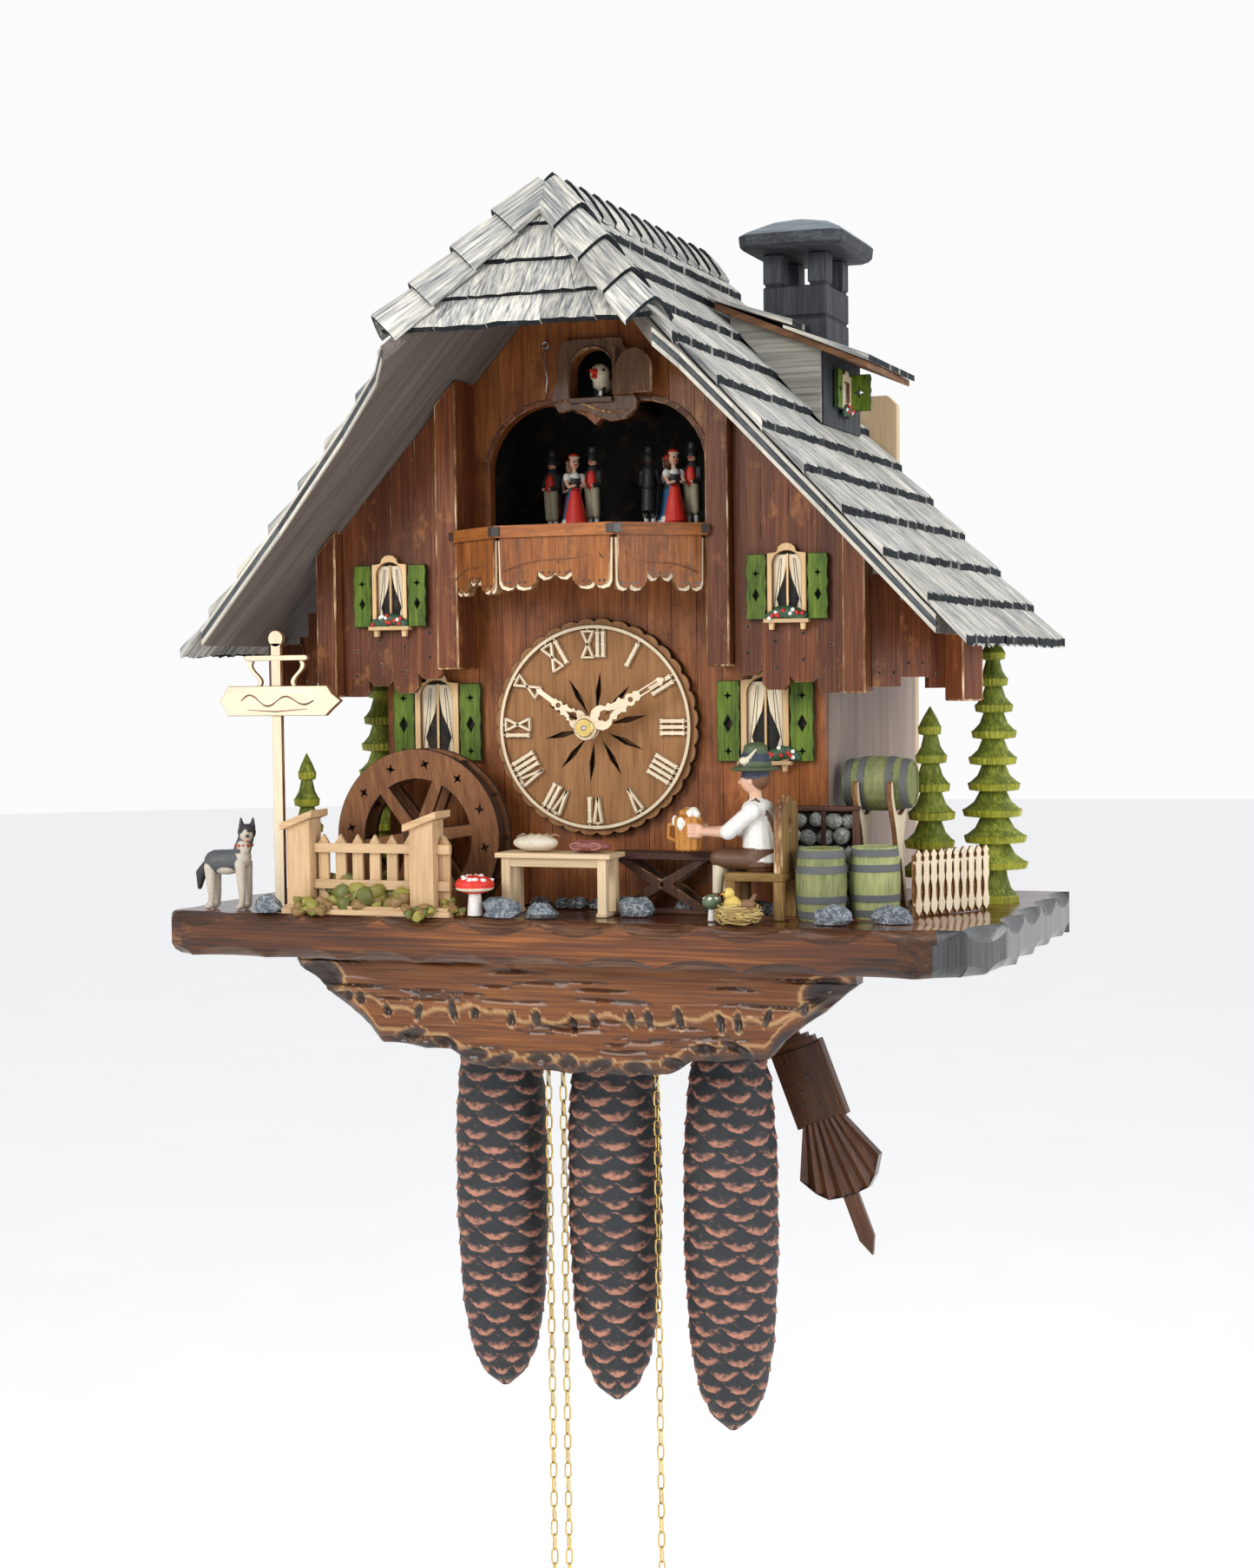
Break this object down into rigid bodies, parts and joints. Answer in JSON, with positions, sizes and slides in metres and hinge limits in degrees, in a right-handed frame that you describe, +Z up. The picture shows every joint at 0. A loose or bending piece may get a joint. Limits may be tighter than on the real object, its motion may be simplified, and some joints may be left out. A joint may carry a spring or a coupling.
{
  "type": "cuckoo clock",
  "caption": "Chalet cuckoo clock with a shingled half-hip roof, turning dancers, a water wheel, a beer-drinking figure, pine-cone weights on brass chains and a swinging pendulum.",
  "frame": {"origin": "centre of the wall-hook hole on the back board's rear face, which is the plane of the wall", "axes": "+Y into the wall along the hook hole, +Z up, +X to the right as seen from the front"},
  "size_m": [0.472, 0.338, 1.0135],
  "materials": {
    "roof_shingle": "weathered grey split shingles, matt",
    "roof_board": "grey-brown veneered board, matt",
    "case_front": "reddish-brown stained planks, satin",
    "case_side": "taupe stained board, matt",
    "dark_wood": "dark brown stain with worn pale edges, satin",
    "base_wood": "orange-brown to black gouged board, gloss varnish",
    "plywood": "pale unfinished plywood",
    "dial_wood": "oak-brown stained board, satin",
    "numeral": "cream with a carved look",
    "window_set": "maple frames with moss-green shutters",
    "garden_wood": "pale laser-cut wood with toasted edges",
    "tree": "carved wood, olive and yellow-green stain",
    "stone": "blue-grey grit with white specks",
    "furniture": "stained wood",
    "figure": "hand-painted resin",
    "barrel": "green stain with grey hoops",
    "ornament": "hand-painted resin",
    "wheel_wood": "mid-brown fine grain",
    "brass_plate": "brushed",
    "steel_part": "fine ground",
    "chain": "bright wire",
    "cone": "blue-black paint, coppery dry-brushed scales",
    "chimney": "slate-grey stain, matt",
    "dormer": "silver-grey board with light shingles",
    "bird": "cream carved bird, red beak",
    "bellows": "pale pine"
  },
  "bodies": {
    "case": {"back_board": "plywood", "back_cover": "plywood", "case_side_walls": "case_side", "front_panel": "case_front", "base_plate": "base_wood", "carved_skirt": "base_wood", "roof_boards": "roof_board", "shingles_left": "roof_shingle", "shingles_right": "roof_shingle", "shingles_hip": "roof_shingle", "ridge_caps": "roof_shingle", "wing_planks": "dark_wood", "facade_posts": "dark_wood", "cuckoo_house": "dark_wood", "balcony": "dark_wood", "dial_board": "dial_wood", "dial_ring": "numeral", "windows": "window_set", "dormer": "dormer", "chimney": "chimney", "fences_and_sign": "garden_wood", "trees": "tree", "stones": "stone", "garden_furniture": "furniture", "drinker_body": "figure", "barrels": "barrel", "garden_ornaments": "ornament", "movement_plates": "brass_plate", "music_box": "plywood", "bellows_boxes": "bellows", "gong": "steel_part"},
    "drinker_arm": {"drinker_arm": "figure"},
    "water_wheel": {"water_wheel": "wheel_wood"},
    "turntable_left": {"turntable_left": "figure"},
    "turntable_right": {"turntable_right": "figure"},
    "cuckoo_bird": {"cuckoo_bird": "bird"},
    "cuckoo_door": {"cuckoo_door": "dark_wood"},
    "minute_hand": {"minute_hand": "numeral"},
    "hour_hand": {"hour_hand": "numeral"},
    "minute_wheel": {"minute_wheel": "brass_plate"},
    "great_wheel": {"great_wheel": "brass_plate"},
    "centre_wheel": {"centre_wheel": "brass_plate"},
    "third_wheel": {"third_wheel": "brass_plate"},
    "escape_wheel": {"escape_wheel": "brass_plate"},
    "pendulum": {"pendulum": "dark_wood"},
    "bellows_lid_left": {"bellows_lid_left": "bellows"},
    "bellows_lid_right": {"bellows_lid_right": "bellows"},
    "strike_hammer": {"strike_hammer": "steel_part"},
    "weight_left": {"weight_left": "cone"},
    "weight_middle": {"weight_middle": "cone"},
    "weight_right": {"weight_right": "cone"},
    "music_chain_wheel": {"music_chain_wheel": "brass_plate"},
    "time_chain_wheel": {"time_chain_wheel": "brass_plate"},
    "cuckoo_chain_wheel": {"cuckoo_chain_wheel": "brass_plate"},
    "free_chain_left": {"free_chain_left": "chain", "chain_hank_left": "chain"},
    "free_chain_middle": {"free_chain_middle": "chain", "chain_hank_middle": "chain"},
    "free_chain_right": {"free_chain_right": "chain", "chain_hank_right": "chain"}
  },
  "joints": [
    {"name": "drinker_arm_lift", "type": "hinge", "parent": "case", "child": "drinker_arm", "pos_m": [0.103, -0.252, -0.228], "axis": [0, 1, 0], "range_deg": [0, 50]},
    {"name": "dancers_left_turn", "type": "hinge", "parent": "case", "child": "turntable_left", "pos_m": [-0.03, -0.175, -0.08], "axis": [0, 0, 1], "continuous": true},
    {"name": "dancers_right_turn", "type": "hinge", "parent": "case", "child": "turntable_right", "pos_m": [0.03, -0.175, -0.08], "axis": [0, 0, 1], "continuous": true},
    {"name": "water_wheel_turn", "type": "hinge", "parent": "case", "child": "water_wheel", "pos_m": [-0.097, -0.215, -0.245], "axis": [0, 1, 0], "continuous": true},
    {"name": "cuckoo_door_swing", "type": "hinge", "parent": "case", "child": "cuckoo_door", "pos_m": [0.0145, -0.223, 0.012], "axis": [0, 0, 1], "range_deg": [-165, 0]},
    {"name": "cuckoo_bird_slide", "type": "slide", "parent": "case", "child": "cuckoo_bird", "axis": [0, 1, 0], "range_m": [0, 0.0365]},
    {"name": "minute_hand_turn", "type": "hinge", "parent": "case", "child": "minute_hand", "pos_m": [0, -0.235, -0.184], "axis": [0, 1, 0], "continuous": true},
    {"name": "hour_hand_turn", "type": "hinge", "parent": "case", "child": "hour_hand", "pos_m": [0, -0.231, -0.184], "axis": [0, 1, 0], "continuous": true},
    {"name": "minute_wheel_turn", "type": "hinge", "parent": "case", "child": "minute_wheel", "pos_m": [0, -0.205, -0.1696], "axis": [0, 1, 0], "continuous": true},
    {"name": "third_wheel_turn", "type": "hinge", "parent": "case", "child": "third_wheel", "pos_m": [0.011, -0.166, -0.15934], "axis": [0, 1, 0], "continuous": true},
    {"name": "great_wheel_turn", "type": "hinge", "parent": "case", "child": "great_wheel", "pos_m": [-0.0202, -0.177, -0.2137], "axis": [0, 1, 0], "continuous": true},
    {"name": "centre_wheel_turn", "type": "hinge", "parent": "case", "child": "centre_wheel", "pos_m": [0, -0.171, -0.184], "axis": [0, 1, 0], "continuous": true},
    {"name": "escape_wheel_turn", "type": "hinge", "parent": "case", "child": "escape_wheel", "pos_m": [0, -0.164, -0.14055], "axis": [0, 1, 0], "continuous": true},
    {"name": "pendulum_swing", "type": "hinge", "parent": "case", "child": "pendulum", "pos_m": [0, -0.149, -0.125], "axis": [0, 1, 0], "range_deg": [0, 41.8]},
    {"name": "bellows_left_lift", "type": "hinge", "parent": "case", "child": "bellows_lid_left", "pos_m": [-0.105, -0.037, -0.119], "axis": [-1, 0, 0], "range_deg": [0, 12]},
    {"name": "bellows_right_lift", "type": "hinge", "parent": "case", "child": "bellows_lid_right", "pos_m": [0.105, -0.037, -0.119], "axis": [-1, 0, 0], "range_deg": [0, 12]},
    {"name": "strike_hammer_swing", "type": "hinge", "parent": "case", "child": "strike_hammer", "pos_m": [0.075, -0.023, -0.145], "axis": [0, 1, 0], "range_deg": [-15, 8], "stiffness_Nm_per_rad": 0.02},
    {"name": "weight_left_fall", "type": "slide", "parent": "case", "child": "weight_left", "axis": [0, 0, 1], "range_m": [-0.11, 0]},
    {"name": "music_chain_wheel_turn", "type": "hinge", "parent": "case", "child": "music_chain_wheel", "pos_m": [-0.0608, -0.185, -0.2137], "axis": [0, 1, 0], "continuous": true},
    {"name": "free_chain_left_rise", "type": "slide", "parent": "case", "child": "free_chain_left", "axis": [0, 0, 1], "range_m": [0, 0.11]},
    {"name": "weight_middle_fall", "type": "slide", "parent": "case", "child": "weight_middle", "axis": [0, 0, 1], "range_m": [-0.11, 0]},
    {"name": "time_chain_wheel_turn", "type": "hinge", "parent": "case", "child": "time_chain_wheel", "pos_m": [-0.0202, -0.185, -0.2137], "axis": [0, 1, 0], "continuous": true},
    {"name": "free_chain_middle_rise", "type": "slide", "parent": "case", "child": "free_chain_middle", "axis": [0, 0, 1], "range_m": [0, 0.11]},
    {"name": "weight_right_fall", "type": "slide", "parent": "case", "child": "weight_right", "axis": [0, 0, 1], "range_m": [-0.11, 0]},
    {"name": "cuckoo_chain_wheel_turn", "type": "hinge", "parent": "case", "child": "cuckoo_chain_wheel", "pos_m": [0.05, -0.185, -0.2137], "axis": [0, 1, 0], "continuous": true},
    {"name": "free_chain_right_rise", "type": "slide", "parent": "case", "child": "free_chain_right", "axis": [0, 0, 1], "range_m": [0, 0.11]}
  ],
  "couplings": [
    {"joint": "dancers_right_turn", "follows": "dancers_left_turn", "ratio": -1},
    {"joint": "water_wheel_turn", "follows": "dancers_left_turn", "ratio": -0.5},
    {"joint": "cuckoo_bird_slide", "follows": "cuckoo_door_swing", "m_per_rad": -0.0125},
    {"joint": "hour_hand_turn", "follows": "minute_hand_turn", "ratio": 0.083333},
    {"joint": "minute_wheel_turn", "follows": "minute_hand_turn", "ratio": -0.33333},
    {"joint": "great_wheel_turn", "follows": "third_wheel_turn", "ratio": 0.015625},
    {"joint": "centre_wheel_turn", "follows": "third_wheel_turn", "ratio": -0.125},
    {"joint": "escape_wheel_turn", "follows": "third_wheel_turn", "ratio": -8.5714},
    {"joint": "music_chain_wheel_turn", "follows": "weight_left_fall", "rad_per_m": 66.667},
    {"joint": "free_chain_left_rise", "follows": "weight_left_fall", "ratio": -1},
    {"joint": "time_chain_wheel_turn", "follows": "weight_middle_fall", "rad_per_m": -66.667},
    {"joint": "free_chain_middle_rise", "follows": "weight_middle_fall", "ratio": -1},
    {"joint": "cuckoo_chain_wheel_turn", "follows": "weight_right_fall", "rad_per_m": -66.667},
    {"joint": "free_chain_right_rise", "follows": "weight_right_fall", "ratio": -1}
  ]
}
